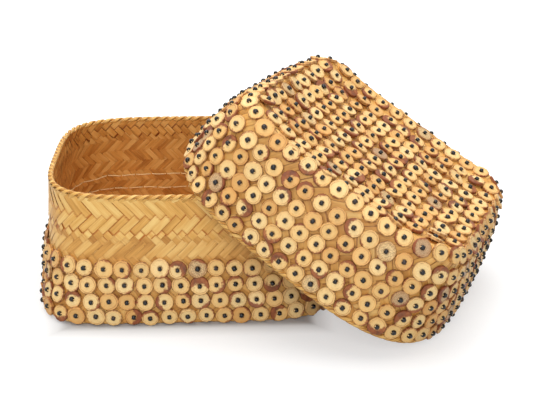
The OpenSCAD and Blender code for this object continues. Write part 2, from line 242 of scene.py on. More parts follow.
def make_piece(name, body, finish, parts, nodes=(), sharp=None):
    """Joins parts into one mesh piece: each part has its points, its faces and its values for the finish."""
    points = np.concatenate([p["points"].reshape(-1, 3) for p in parts])
    starts = np.cumsum([0] + [p["points"].size // 3 for p in parts])[:-1]
    faces = np.concatenate([p["faces"] + s for p, s in zip(parts, starts)]).astype(np.int32)
    mesh = bpy.data.meshes.new(name)
    mesh.vertices.add(len(points))
    mesh.vertices.foreach_set("co", (points * MM).astype(np.float32).ravel())
    mesh.loops.add(faces.size)
    mesh.loops.foreach_set("vertex_index", faces.ravel())
    mesh.polygons.add(len(faces))
    mesh.polygons.foreach_set("loop_start", np.arange(0, faces.size, 4, dtype=np.int32))
    mesh.polygons.foreach_set("use_smooth", np.ones(len(faces), bool))
    mesh.update(calc_edges=True)
    if sharp is not None:
        mesh.set_sharp_from_angle(angle=math.radians(sharp))
    spots = np.concatenate([p["spot"].reshape(-1, 3) for p in parts]).astype(np.float32)
    mesh.attributes.new("spot", "FLOAT_VECTOR", "POINT").data.foreach_set("vector", spots.ravel())
    # The stain layer holds real stains on the disks, and on strips and cords their place across, which the finish
    # darkens at the edges as painted shade
    for layer in ("tone", "stain_and_edge_shade", "dip"):
        values = np.concatenate([p.get(layer, 0 * p["tone"]).ravel() for p in parts]).astype(np.float32)
        mesh.attributes.new(layer, "FLOAT", "POINT").data.foreach_set("value", values)
    piece = bpy.data.objects.new(name, mesh)
    bpy.context.scene.collection.objects.link(piece)
    mesh.materials.append(finish)
    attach(piece, body)
    if nodes:
        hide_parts(*nodes)
    return piece


def spread(value, shape):
    """One value for each grid, repeated for all of its points."""
    return np.broadcast_to(value[:, None, None], shape)


def row_pattern(runs, rows):
    """Which strips lie on top, row by row: runs of -1 and +1 in turn, then runs of three."""
    signs = np.where(np.arange(len(runs)) % 2, 1, -1)
    start = np.repeat(signs, runs)
    more = np.tile(np.repeat([-signs[-1], signs[-1]], 3), rows // 6 + 2)
    return np.concatenate([start, more])


def row_state(pattern, row):
    """Height of a strip as a share of its rise: it holds over each row and passes smoothly from row to row."""
    low = np.clip(np.floor(row).astype(int), 0, len(pattern) - 2)
    step = np.clip((row - low - row_hold) / (1 - 2 * row_hold), 0, 1)
    step = step * step * (3 - 2 * step)
    return pattern[low] * (1 - step) + pattern[low + 1] * step


def plaited_wall(place, length, low, high, depth, runs, seed, side=1, ragged=0, wave=strip_wave, pitch=strip_pitch):
    """Strips wound round a wall at 45 degrees, one set rising to the right and one to the left.

    A strip's middle is at share (number + height / spacing) / strips, or with minus. Which set lies on top depends
    only on the row, counted down from the top edge, and the strips rise and fall by row_state.
    """
    chance = np.random.default_rng(seed)
    strips = round(length / (pitch * math.sqrt(2)))
    spacing = length / strips
    steps = max(2, round((high - low) / spacing * 2 * strip_steps))
    pattern = row_pattern(runs, int((high - low) / spacing * 2) + 2)
    parts = []
    for lean in (1, -1):
        middle = np.arange(strips) + 0.5 + chance.normal(0, 0.03, strips)
        side_share = np.linspace(-1, 1, 3)
        across = side_share * 0.5 * strip_fill * chance.uniform(0.88, 1.04, strips)[:, None, None]
        # Strips that end free are cut off square, at uneven heights
        square_cut = -lean * across * spacing / 2 if ragged else 0 * across
        ends = low + ragged * chance.random(strips)[:, None, None] + square_cut
        heights = ends + (high - ends) * np.linspace(0, 1, steps + 1)[:, None]
        share = (middle[:, None, None] + across + lean * heights / spacing) / strips
        row = 2 * (high - heights) / spacing - lean * across
        state = lean * row_state(pattern, row)
        tilt = chance.normal(0, strip_tilt, strips)[:, None, None]
        lift = wave * state + strip_crown * (1 - side_share ** 2) + tilt * side_share
        points = place(share, heights + 0 * share, depth - side * lift)
        shape = share.shape
        spot = np.stack([across * pitch + 0 * share,
                         heights * math.sqrt(2) + 0 * share,
                         spread(chance.uniform(0, 500, strips), shape)], -1)
        # dip marks where a strip passes under the other set; the finish darkens it there, and at the strip's edges,
        # with painted shade
        parts.append({"points": points, "faces": grid_faces(strips, steps + 1, 3, flip=side < 0), "spot": spot,
                      "tone": spread(chance.random(strips), shape), "dip": wave / strip_wave * np.clip(1 - state, 0, 1),
                      "stain_and_edge_shade": side_share + 0 * share})
    return parts


def plaited_panel(place, half_w, half_d, square, reach, depth, seed, side=1, pitch=strip_pitch):
    """Strips across a floor or top at 45 degrees to its sides, x = (a - b) and y = (a + b) times the pitch / root 2.

    A strip of the first set keeps a, one of the second keeps b, and each runs as far as the outline lets it.
    """
    chance = np.random.default_rng(seed)
    half = math.ceil((half_w + half_d) / math.sqrt(2) / pitch)
    numbers = np.arange(-half, half)
    scale = pitch / math.sqrt(2)
    across = np.linspace(-0.5, 0.5, 3) * strip_fill
    trial = np.linspace(-half, half, 400)
    pattern = row_pattern([3], 4 * half)
    parts = []
    for first in (True, False):
        kept = numbers[:, None] + 0.5
        x = (kept - trial if first else trial - kept) * scale
        y = (kept + trial) * scale
        inside = np.abs(x / half_w) ** square + np.abs(y / half_d) ** square < reach ** square
        some = inside.any(1)
        low = trial[inside[some].argmax(1)]
        high = trial[len(trial) - 1 - inside[some][:, ::-1].argmax(1)]
        number = numbers[some]
        steps = 100
        along = low[:, None] + (high - low)[:, None] * np.linspace(0, 1, steps + 1)
        along = along[:, :, None]
        kept = number[:, None, None] + 0.5 + across
        x = (kept - along if first else along - kept) * scale
        y = (kept + along) * scale
        row = (along - number[:, None, None] - 0.5 if first else number[:, None, None] + 0.5 - along) + 2 * half
        lean = 1 if first else -1
        state = lean * row_state(pattern, row)
        lift = strip_wave * state + strip_crown * (1 - (2 * across / strip_fill) ** 2)
        shape = x.shape
        spot = np.stack([across * pitch + 0 * x, along * pitch + 0 * x,
                         spread(chance.uniform(0, 500, len(number)), shape)], -1)
        # dip marks where a strip passes under the other set; the finish darkens it there, and at the strip's edges,
        # with painted shade
        parts.append({"points": place(x, y, depth - side * lift),
                      "faces": grid_faces(len(number), steps + 1, 3, flip=(side > 0) == first), "spot": spot,
                      "tone": spread(chance.random(len(number)), shape), "dip": np.clip(1 - state, 0, 1) + 0 * x,
                      "stain_and_edge_shade": 2 * across / strip_fill + 0 * x})
    return parts


def lining_sheet(place, low, high, depth, side=1):
    """Plain sheet behind the strips of a wall, which closes the small gaps between them."""
    share = np.linspace(0, 1, 97)[:-1]
    heights = np.linspace(low, high, 25)[:, None]
    points = place(share + 0 * heights, heights + 0 * share, depth + 0 * share + 0 * heights)
    return sheet_part(points, grid_faces(1, 25, 96, close_cross=True, flip=side < 0))


def lining_panel(place, half_w, half_d, square, reach, depth, side=1):
    """Plain sheet behind the strips of a floor or top: outlines that shrink towards the middle."""
    turn = quarter_turn(np.linspace(0, 4, 97)[:-1])
    shrink = np.linspace(reach, 0.01, 20)[:, None]
    x, y = outline(half_w, half_d, square, turn)
    points = place(x * shrink, y * shrink, depth + 0 * x * shrink)
    return sheet_part(points, grid_faces(1, 20, 96, close_cross=True, flip=side < 0))


def sheet_part(points, faces):
    """A part without strips: its finish gives it the lowest own tone and the edge darkening all over, painted shade
    seen through the gaps between strips.
    """
    spot = np.zeros(points.shape)
    return {"points": points, "faces": faces, "spot": spot,
            "tone": np.zeros(points.shape[:-1]), "stain_and_edge_shade": np.ones(points.shape[:-1])}


def twisted_rim(place, height, depth, turns, reach, wide, thick, seed):
    """Cord of two strands that wind round a rim's line: each strand's middle is at reach from the line, at an angle
    that grows by a number of turns on the way round, and its section is an ellipse, wide along the winding."""
    chance = np.random.default_rng(seed)
    stations = turns * 18
    sides = 9
    share = np.arange(stations) / stations
    line = place(share, height + 0 * share, depth + 0 * share)
    out = place(share, height + 0 * share, depth - 0.5 + 0 * share) - line
    out = out / np.linalg.norm(out, axis=-1, keepdims=True)
    forward = np.roll(line, -1, 0) - np.roll(line, 1, 0)
    up = np.cross(out, forward)
    up = up / np.linalg.norm(up, axis=-1, keepdims=True)
    wander = sum(chance.normal(0, 0.5 / k) * np.sin(2 * math.pi * k * share + chance.uniform(0, 6)) for k in (5, 9, 14))
    round_turn = np.linspace(0, 2 * math.pi, sides, endpoint=False)
    parts = []
    for strand in (0, math.pi):
        angle = 2 * math.pi * turns * share + strand + wander
        away = np.cos(angle)[:, None] * out + np.sin(angle)[:, None] * up
        beside = -np.sin(angle)[:, None] * out + np.cos(angle)[:, None] * up
        section = (thick * np.cos(round_turn)[None, :, None] * away[:, None]
                   + wide * np.sin(round_turn)[None, :, None] * beside[:, None])
        points = line[:, None] + reach * away[:, None] + section
        length = share[:, None] * turns * 30 + 0 * round_turn
        spot = np.stack([wide * np.sin(round_turn) + 0 * length, length, strand * 40 + 0 * length], -1)
        tone = 0.5 + 0.25 * np.sin(2 * math.pi * share * 37 + strand * 2 + 3 * wander)
        # dip and the sides of each section mark where the two strands meet; the finish darkens them with painted shade
        # for the crevice
        parts.append({"points": points, "spot": spot,
                      "faces": grid_faces(1, stations, sides, close_long=True, close_cross=True),
                      "tone": np.broadcast_to(tone[:, None], length.shape),
                      "dip": np.abs(np.sin(round_turn)) ** 10 + 0 * length,
                      "stain_and_edge_shade": np.sin(round_turn) + 0 * length})
    return parts


def resting(parts):
    """Parts pressed flat where they lie on the floor: no point is lower than the least height."""
    for part in parts:
        part["points"][..., 2] = np.maximum(part["points"][..., 2], least_height)
    return parts


def rim_tucks(place, length, top, drop, depth, seed, pitch=strip_pitch):
    """Short strip ends that slant from under the rim into the plaiting, one for each strip of the wall."""
    chance = np.random.default_rng(seed)
    strips = round(length / (pitch * math.sqrt(2)))
    spacing = length / strips
    across = np.linspace(-0.5, 0.5, 3) * 0.6
    way = np.linspace(0, 1, 6)
    drops = drop * (0.8 + 0.4 * chance.random(strips))
    heights = top - drops[:, None, None] * (1 - way)[None, :, None]
    middle = np.arange(strips) + 0.5 + chance.normal(0, 0.05, strips)
    share = (middle[:, None, None] + across + heights / spacing) / strips
    lift = 0.75 * np.sin(way * math.pi / 2)[None, :, None] + 0.1 * (1 - (2 * across / 0.6) ** 2)
    points = place(share, heights + 0 * share, depth - lift + 0 * share)
    spot = np.stack([across * pitch + 0 * share, heights * math.sqrt(2) + 0 * share,
                     spread(chance.uniform(0, 500, strips), share.shape)], -1)
    # The finish darkens the tucks' edges with painted shade
    return {"points": points, "faces": grid_faces(strips, 6, 3), "spot": spot,
            "tone": spread(chance.random(strips), share.shape), "stain_and_edge_shade": 2 * across / 0.6 + 0 * share}


def solid_middles(node):
    """Middle of each separate solid of a node: corners take the lowest label that their triangles reach."""
    corners, triangles = node_corners(node)
    label = np.arange(len(corners))
    while True:
        lower = label.copy()
        np.minimum.at(lower, triangles.ravel(), np.repeat(label[triangles].min(1), 3))
        lower = lower[lower]
        if (lower == label).all():
            break
        label = lower
    names, group = np.unique(label, return_inverse=True)
    count = np.bincount(group)
    return np.stack([np.bincount(group, corners[:, k]) / count for k in range(3)], -1)


def seats(disk_node, bead_node, axis, along=None):
    """Middles of a row's disks and beads, with the ways across the row, along it and out of the wall.

    The way out runs from a disk to its bead. The row runs square to it and to the axis of its body, or follows along.
    """
    disk = solid_middles(disk_node)
    bead = solid_middles(bead_node)
    bead = bead[np.linalg.norm(disk[:, None] - bead[None], axis=-1).argmin(1)]
    out = bead - disk
    out = out / np.linalg.norm(out, axis=-1, keepdims=True)
    row = np.cross(axis, out) if along is None else along - (out @ along)[:, None] * out
    row = row / np.linalg.norm(row, axis=-1, keepdims=True)
    return {"disk": disk, "bead": bead, "out": out, "row": row, "across": np.cross(row, out)}


close_disk_r = 6.5
lid_disk_r = 6.25
disk_slip = 0.4
disk_hole_r = 1.3
disk_sides = 12
# Beads sit this deep in the holes of their disks
bead_sink = 0.35
# At the lid's back the last row of disks is turned up by this slope, and moved in and down by these lengths
back_full = 0.7
back_tip = 0.45
back_in = 2.2
back_down = 0.8
left_in = 2.2
pulled_up = 1.2
sunk_in = 1.6
# The top's disks lie this much further from its middle, so that they close up to the last row
top_spread_out = 1.04
# Towards the back they lie further still, by up to this length
top_back_out = 4


def over_the_edge(at):
    """Seats of the lid's last row: pulled up the wall, and towards the back moved in over the edge and turned up."""
    back = np.clip(at["out"] @ lid_axes[:, 1:2] / back_full, 0, 1)
    left = np.clip(-at["out"] @ lid_axes[:, 0:1] / back_full, 0, 1)
    out = at["out"] - back_tip * back * at["across"]
    out = out / np.linalg.norm(out, axis=-1, keepdims=True)
    disk = at["disk"] - back_in * back * lid_axes[:, 1] - back_down * back * lid_axes[:, 2]
    disk = disk + left_in * left * lid_axes[:, 0]
    disk = disk - pulled_up * (1 - back) * at["across"] - sunk_in * out
    bead = disk + np.linalg.norm(at["bead"] - at["disk"], axis=-1, keepdims=True) * out
    return dict(at, disk=disk, bead=bead, out=out, across=np.cross(at["row"], out))


def shell_disks(at, seed, disk_r, tip, spread_tip):
    """Hand-cut disks with a hole: five rings carried round, the outer ones on an uneven outline, whose radius is
    the disk's times one plus three small waves. Disks tip across the row by a mean slope and both ways by a spread."""
    chance = np.random.default_rng(seed)
    count = len(at["disk"])
    turn = np.linspace(0, 2 * math.pi, disk_sides, endpoint=False)
    waves = np.array([2, 3, 5])
    swell = chance.normal(0, 0.014, (count, 3, 1))
    phase = chance.uniform(0, 2 * math.pi, (count, 3, 1))
    uneven = 1 + (swell * np.cos(waves[:, None] * turn + phase)).sum(1)
    size = disk_r * np.clip(chance.normal(1, 0.05, (count, 1, 1)), 0.88, 1.07)
    radius = size[:, 0] * uneven
    # Rings: share of the way from the hole to the outline, how far inside it, and height over the disk's middle
    half = disk_t / 2
    rings = [(0, 0, -half), (0, 0, half - 0.1), (1, -0.5, half), (1, 0, half - 0.55), (1, -0.2, -half)]
    reach = np.stack([disk_hole_r + s * (radius - disk_hole_r) + inset for s, inset, z in rings], 1)
    x = reach * np.cos(turn)
    y = reach * np.sin(turn)
    z = np.array([z for s, inset, z in rings])[None, :, None] + 0 * x
    slip = chance.normal(0, disk_slip, (count, 2, 1))
    at = dict(at, disk=at["disk"] + slip[:, 0] * at["across"] + slip[:, 1] * at["row"],
              bead=at["bead"] + slip[:, 0] * at["across"] + slip[:, 1] * at["row"])
    tip_x = chance.normal(tip, spread_tip, (count, 1))
    tip_y = chance.normal(0, spread_tip, (count, 1))
    rise = np.hypot(tip_x, tip_y) * disk_r * 0.8
    out = at["out"] + tip_x * at["across"] + tip_y * at["row"]
    across = at["across"] - tip_x * at["out"]
    row = at["row"] - tip_y * at["out"]
    points = ((at["disk"] + rise * at["out"])[:, None, None] + x[..., None] * across[:, None, None]
              + y[..., None] * row[:, None, None] + z[..., None] * out[:, None, None])
    side = chance.uniform(0, 2 * math.pi, (count, 1, 1))
    amount = np.clip(chance.gamma(1.1, 0.26, (count, 1, 1)), 0, 0.8)
    stain_and_edge_shade = np.hypot(x / size + amount * np.cos(side), y / size + amount * np.sin(side)) - 1
    spot = np.stack([x / size, y / size, chance.uniform(0, 300, (count, 1, 1)) + 0 * x], -1)
    part = {"points": points, "faces": grid_faces(count, len(rings), disk_sides, True, True), "spot": spot,
            "tone": np.broadcast_to(chance.random((count, 1, 1)), x.shape), "stain_and_edge_shade": stain_and_edge_shade}
    return part, dict(at, bead=at["bead"] + (rise - bead_sink) * at["out"])


def seed_beads(at, seed):
    """Seed beads with a hole along the row: an ellipse carried round the hole."""
    chance = np.random.default_rng(seed)
    count = len(at["bead"])
    turn = np.linspace(0, 2 * math.pi, 10, endpoint=False)[:, None]
    section = np.linspace(0, 2 * math.pi, 6, endpoint=False)
    size = chance.normal(1, 0.05, (count, 1, 1))
    reach = size * (0.92 + 0.78 * np.cos(section) + 0 * turn)
    x = reach * np.cos(turn)
    z = reach * np.sin(turn)
    y = size * 1.5 * np.sin(section) + 0 * x
    lean = chance.normal(0, 0.25, (count, 1))
    row = at["row"] + lean * at["across"]
    across = at["across"] - lean * at["row"]
    points = (at["bead"][:, None, None] + x[..., None] * across[:, None, None] + y[..., None] * row[:, None, None]
              + z[..., None] * at["out"][:, None, None])
    return {"points": points, "faces": grid_faces(count, 10, 6, True, True), "spot": np.stack([x, y, z], -1),
            "tone": np.broadcast_to(chance.random((count, 1, 1)), x.shape), "stain_and_edge_shade": 0 * x}


def sewing_thread(at, following, seed):
    """Stitches from bead to bead: down beside one, through disk and wall, along the inside and up beside the next.

    A stitch's path is given by steps along the row and out of the wall at both seats, and a flat oval is carried
    along it.
    """
    chance = np.random.default_rng(seed)
    here, there = following
    count = len(here)
    bead_out = np.linalg.norm(at["bead"] - at["disk"], axis=-1).mean()
    steps = [(0.2, bead_out), (1.3, bead_out), (1.2, 0.6), (0.8, 0.4 - stitch_depth), (1.5, -stitch_depth)]
    first = [at["disk"][here] + y * at["row"][here] + z * at["out"][here] for y, z in steps]
    last = [at["disk"][there] - y * at["row"][there] + z * at["out"][there] for y, z in steps[::-1]]
    sway = chance.normal(0, 0.3, (count, 1)) * at["across"][here]
    middle = (first[-1] + last[0]) / 2 + sway - 0.12 * at["out"][here]
    path = np.stack(first + [middle] + last, 1)
    ahead = np.gradient(path, axis=1)
    ahead = ahead / np.linalg.norm(ahead, axis=-1, keepdims=True)
    wide = np.repeat(at["across"][here][:, None], path.shape[1], 1)
    wide = wide - (wide * ahead).sum(-1, keepdims=True) * ahead
    wide = wide / np.linalg.norm(wide, axis=-1, keepdims=True)
    flat = np.cross(ahead, wide)
    turn = np.linspace(0, 2 * math.pi, 5, endpoint=False)[:, None]
    points = path[:, :, None] + 0.6 * np.cos(turn) * wide[:, :, None] + 0.35 * np.sin(turn) * flat[:, :, None]
    length = np.cumsum(np.linalg.norm(np.diff(path, axis=1, prepend=path[:, :1]), axis=-1), 1)[:, :, None]
    angle = turn[:, 0] + 0 * length
    spot = np.stack([angle, length + 0 * angle, chance.uniform(0, 300, (count, 1, 1)) + 0 * angle], -1)
    return {"points": points, "faces": grid_faces(count, path.shape[1], 5, close_cross=True), "spot": spot,
            "tone": np.broadcast_to(chance.random((count, 1, 1)), angle.shape), "stain_and_edge_shade": 0 * angle}


def next_round(at, axes, home):
    """Each seat of a row that goes all the way round, and the seat that follows it."""
    local = (at["disk"] - home) @ axes
    order = np.argsort(np.arctan2(local[:, 1], local[:, 0]))
    return order, np.roll(order, -1)


def next_along(at, axes, home):
    """Each seat of the top that has a neighbour one spacing further along its row, and that neighbour."""
    local = (at["disk"] - home) @ axes
    ahead = local[None, :, 0] - local[:, None, 0]
    aside = np.abs(local[None, :, 1] - local[:, None, 1])
    beside = (ahead > 0) & (ahead < 1.3 * disk_pitch) & (aside < 0.3 * disk_pitch)
    here = np.flatnonzero(beside.any(1))
    return here, beside[here].argmax(1)


class Finish:
    """A node material in the making: each call adds a node and gives back its output."""

    def __init__(self, name):
        self.material = bpy.data.materials.new(name)
        self.material.use_nodes = True
        self.tree = self.material.node_tree
        self.shader = self.tree.nodes["Principled BSDF"]

    def put(self, socket, value):
        """Links an output to a socket, or sets the socket to a plain value."""
        if isinstance(value, bpy.types.NodeSocket):
            self.tree.links.new(value, socket)
        else:
            socket.default_value = value

    def add(self, kind, sockets, out=0, **settings):
        node = self.tree.nodes.new(kind)
        for name, value in settings.items():
            setattr(node, name, value)
        for name, value in sockets.items():
            self.put(node.inputs[name], value)
        return node.outputs[out]

    def layer(self, name, out="Fac"):
        return self.add("ShaderNodeAttribute", {}, out, attribute_name=name)

    def noise(self, vector, stretch, detail=2.0, roughness=0.5):
        """Noise on coordinates stretched by three factors."""
        mapped = self.add("ShaderNodeMapping", {"Vector": vector, "Scale": stretch})
        return self.add("ShaderNodeTexNoise",
                        {"Vector": mapped, "Scale": 1.0, "Detail": detail, "Roughness": roughness}, "Fac")

    def sum(self, operation, first, second):
        return self.add("ShaderNodeMath", {0: first, 1: second}, operation=operation)

    def band(self, value, low, high, start=0.0, end=1.0):
        """Value carried smoothly from a range to a range."""
        return self.add("ShaderNodeMapRange", {"Value": value, "From Min": low, "From Max": high,
                                               "To Min": start, "To Max": end}, interpolation_type="SMOOTHSTEP")

    def mix(self, factor, first, second, blend="MIX"):
        node = self.tree.nodes.new("ShaderNodeMix")
        node.data_type = "RGBA"
        node.blend_type = blend
        self.put(node.inputs[0], factor)
        self.put(node.inputs[6], first)
        self.put(node.inputs[7], second)
        return node.outputs[2]

    def ramp(self, value, stops):
        """Colour ramp through stops, each a place and a colour."""
        node = self.tree.nodes.new("ShaderNodeValToRGB")
        for place, colour in stops[1:-1]:
            node.color_ramp.elements.new(place)
        for element, (place, colour) in zip(node.color_ramp.elements, stops):
            element.position = place
            element.color = colour
        self.put(node.inputs["Fac"], value)
        return node.outputs["Color"]

    def bump(self, height, strength, distance):
        return self.add("ShaderNodeBump", {"Height": height, "Strength": strength, "Distance": distance})

    def shade(self, **sockets):
        """Sets the shader's sockets, named with _ for a space."""
        for name, value in sockets.items():
            self.put(self.shader.inputs[name.replace("_", " ")], value)
        return self.material


def paint(red, green, blue):
    """Colour written as on a screen, from 0 to 255, turned to the linear values that shaders take."""
    screen = np.array([red, green, blue]) / 255
    linear = np.where(screen <= 0.04045, screen / 12.92, ((screen + 0.055) / 1.055) ** 2.4)
    return (*linear.tolist(), 1.0)


def leaf_finish(name, dark, mid, pale, gap_shade, rough, own=0.42, edged=0.3):
    """Split leaf: fibres run along each strip and strips have their own tone; their edges, and the stretches where a
    strip dips under another, are darkened with painted shade.
    """
    finish = Finish(name)
    spot = finish.layer("spot", "Vector")
    fibre = finish.noise(spot, (2.4, 0.04, 1.0), 3.0, 0.65)
    cloud = finish.noise(spot, (0.25, 0.04, 1.0), 2.0)
    tone = finish.sum("MULTIPLY_ADD", finish.layer("tone"), own)
    finish.put(tone.node.inputs[2], finish.sum("MULTIPLY", fibre, 0.62 + (0.42 - own) / 2))
    tone = finish.sum("ADD", tone, finish.sum("MULTIPLY", finish.sum("SUBTRACT", cloud, 0.55), 0.9))
    colour = finish.ramp(tone, [(0.12, dark), (0.45, mid), (0.8, pale)])
    # Painted shade: strip edges and the stretches where a strip dips under the next are mixed towards the gap shade
    # colour
    edge = finish.band(finish.sum("ABSOLUTE", finish.layer("stain_and_edge_shade"), 0.0), 0.86, 1.0, 0.0, edged)
    shade = finish.sum("MAXIMUM", edge, finish.band(finish.layer("dip"), 0.15, 1.0))
    colour = finish.mix(shade, colour, finish.mix(1.0, colour, gap_shade, "MULTIPLY"))
    normal = finish.bump(fibre, 0.35, 0.0004)
    roughness = finish.band(fibre, 0.3, 0.7, rough - 0.08, rough + 0.12)
    return finish.shade(Base_Color=colour, Roughness=roughness, Normal=normal, Specular_IOR_Level=0.4)


def shell_finish(name):
    """Cut coconut shell: cream to tan with fine grain, brown crescents and a few grey disks; dark edges partly the
    shell's own rim and partly painted shade, with painted shade towards the rim, in a broken ring and round the hole.
    """
    finish = Finish(name)
    spot = finish.layer("spot", "Vector")
    tone = finish.layer("tone")
    grain = finish.noise(spot, (5.0, 5.0, 1.0), 4.0, 0.65)
    blot = finish.noise(spot, (1.6, 1.6, 1.0), 3.0, 0.6)
    colour = finish.ramp(tone, [(0.0, paint(232, 178, 106)), (0.4, paint(248, 204, 132)),
                                (0.94, paint(255, 222, 158)), (1.0, paint(204, 168, 130))])
    colour = finish.mix(finish.band(grain, 0.45, 0.75, 0.0, 0.28), colour, paint(196, 134, 70))
    fleck = finish.noise(spot, (11.0, 11.0, 1.0), 2.0, 0.5)
    colour = finish.mix(finish.band(fleck, 0.66, 0.74, 0.0, 0.55), colour, paint(128, 80, 44))
    mottled = finish.sum("MULTIPLY", finish.band(tone, 0.92, 0.96), finish.band(fleck, 0.4, 0.6, 0.0, 0.6))
    colour = finish.mix(mottled, colour, paint(146, 108, 76))
    flat = finish.add("ShaderNodeVectorMath", {0: spot, 1: (1.0, 1.0, 0.0)}, operation="MULTIPLY")
    reach = finish.add("ShaderNodeVectorMath", {0: flat}, "Value", operation="LENGTH")
    # Painted shade: the face darkens towards its rim as a dished face would
    cup_shade = finish.mix(1.0, colour, paint(238, 206, 160), "MULTIPLY")
    colour = finish.mix(finish.band(reach, 0.45, 0.95, 0.0, 0.4), colour, cup_shade)
    uneven = finish.sum("ADD", finish.sum("MULTIPLY", finish.sum("SUBTRACT", blot, 0.5), 0.8),
                        finish.sum("MULTIPLY", finish.sum("SUBTRACT", grain, 0.5), 0.5))
    stain_and_edge_shade = finish.sum("ADD", finish.layer("stain_and_edge_shade"), uneven)
    husk = finish.ramp(blot, [(0.3, paint(88, 38, 24)), (0.55, paint(148, 76, 42)), (0.8, paint(192, 124, 74))])
    colour = finish.mix(finish.band(stain_and_edge_shade, -0.06, 0.16, 0.0, 0.95), colour, husk)
    ragged = finish.sum("ADD", reach, finish.sum("MULTIPLY", finish.sum("SUBTRACT", blot, 0.5), 0.3))
    # Painted shade: a broken darker ring inside the rim, as a raised rim would cast
    ring = finish.band(finish.sum("ABSOLUTE", finish.sum("SUBTRACT", ragged, 0.78), 0.0), 0.06, 0.02, 0.0, 0.5)
    broken = finish.sum("MULTIPLY", ring, finish.band(finish.noise(spot, (0.9, 0.9, 0.7)), 0.45, 0.6))
    colour = finish.mix(broken, colour, paint(150, 92, 48))
    # The dark edge is partly the shell's own dark rim and partly painted shade between the disks
    colour = finish.mix(finish.band(ragged, 0.87, 1.02, 0.0, 0.75), colour, paint(126, 64, 28))
    # Painted shade round the hole, under the bead
    colour = finish.mix(finish.band(reach, 0.34, 0.24, 0.0, 0.6), colour, paint(112, 66, 34))
    normal = finish.bump(grain, 0.25, 0.0006)
    roughness = finish.band(blot, 0.3, 0.7, 0.45, 0.65)
    return finish.shade(Base_Color=colour, Roughness=roughness, Normal=normal, Specular_IOR_Level=0.35)


def bead_finish(name):
    """Seed beads: near-black and glossy, some a little brown."""
    finish = Finish(name)
    colour = finish.ramp(finish.layer("tone"), [(0.0, paint(14, 12, 12)), (0.8, paint(26, 23, 23)),
                                                (1.0, paint(58, 42, 34))])
    cloud = finish.noise(finish.layer("spot", "Vector"), (0.8, 0.8, 0.8))
    roughness = finish.band(cloud, 0.3, 0.7, 0.1, 0.22)
    return finish.shade(Base_Color=colour, Roughness=roughness, Specular_IOR_Level=0.35)


def thread_finish(name):
    """Pale twisted fibre: darker lines wind round the thread."""
    finish = Finish(name)
    spot = finish.layer("spot", "Vector")
    parts = finish.add("ShaderNodeSeparateXYZ", {"Vector": spot})
    wound = finish.sum("SINE", finish.sum("MULTIPLY_ADD", parts, 1.0), 0.0)
    phase = wound.node.inputs[0].links[0].from_node
    finish.put(phase.inputs[2], finish.sum("MULTIPLY", parts.node.outputs["Y"], 5.0))
    colour = finish.ramp(finish.band(wound, -1.0, 1.0), [(0.0, paint(226, 178, 112)), (0.5, paint(252, 216, 152)),
                                                         (1.0, paint(255, 234, 182))])
    normal = finish.bump(wound, 0.4, 0.0002)
    return finish.shade(Base_Color=colour, Roughness=0.7, Normal=normal)


plait = leaf_finish("golden_leaf", paint(198, 140, 62), paint(232, 176, 90), paint(250, 210, 130),
                    paint(208, 156, 106), 0.44, edged=0.2)
# A darker copy of the golden plait for the weave among and under the disks: painted shade of the disks over it
shaded_plait = leaf_finish("shaded_leaf", paint(190, 130, 58), paint(226, 168, 86), paint(246, 202, 124),
                      paint(158, 92, 46), 0.5)
liner = leaf_finish("brown_leaf", paint(176, 110, 42), paint(212, 148, 70), paint(234, 182, 104),
                    paint(176, 122, 78), 0.5, own=0.46)
rim = leaf_finish("rim_leaf", paint(194, 140, 64), paint(228, 176, 92), paint(246, 206, 128),
                  paint(164, 112, 64), 0.45)
tucked = leaf_finish("tucked_leaf", paint(182, 118, 48), paint(218, 156, 76), paint(240, 190, 110),
                     paint(150, 98, 58), 0.48)
shell = shell_finish("coconut_shell")
seed_black = bead_finish("seed_bead_black")
thread = thread_finish("pale_thread")

# Heights of the plaited walls, and depths of the strips' middles inside the skin
wall_top = base_h - base_rim_h + 0.8
fold_low = 63.5
fold_ragged = 2.5
fold_skin = -0.05
chevron_low = 78
chevron_runs = [2, 2]
skin = 0.45
liner_skin = wall_t - 0.4
core = outer_t - 0.15
liner_core = outer_t + layer_gap + 0.15
collar_runs = [4, 3, 2, 3]
plain_runs = [3]
# The lid's cord lies along the edge of its mouth, half outside the wall
cord_way = -0.6
cord_depth = 0.2
least_height = 0.05
up = np.array([0.0, 0.0, 1.0])
lid_up_axis = lid_axes[:, 2]
lid_x_axis = lid_axes[:, 0]
floor_a = base_a - 4
floor_b = base_b - 4

make_piece("base_outer_weave", "base", shaded_plait,
           plaited_wall(base_wall, base_round, 0.4, wall_top, skin, collar_runs, 11, wave=flat_wave)
           + [lining_sheet(base_wall, 0.6, wall_top, core)], ["base_outer_plait"])
make_piece("base_folded_band", "base", plait,
           plaited_wall(base_wall, base_round, fold_low, wall_top, fold_skin, collar_runs, 18, ragged=fold_ragged))
make_piece("base_under_weave", "base", plait,
           plaited_panel(base_floor, floor_a, floor_b, foot_square, 1.005, skin, 12, side=1)
           + [lining_panel(base_floor, floor_a, floor_b, foot_square, 1.015, core)])
make_piece("base_inner_weave", "base", liner,
           plaited_wall(base_wall, base_round, wall_t + 0.3, wall_top, liner_skin, plain_runs, 14, side=-1,
                        wave=flat_wave, pitch=lining_pitch)
           + [lining_sheet(base_wall, wall_t, wall_top, liner_core, side=-1)], ["base_inner_plait"])
make_piece("base_chevron_band", "base", tucked,
           plaited_wall(base_wall, base_round, chevron_low, wall_top, wall_t, chevron_runs, 19, side=-1,
                        ragged=fold_ragged))
make_piece("base_inside_floor", "base", liner,
           plaited_panel(base_floor, floor_a, floor_b, foot_square, 1.0, liner_skin, 15, side=-1)
           + [lining_panel(base_floor, floor_a, floor_b, foot_square, 1.01, liner_core, side=-1)])
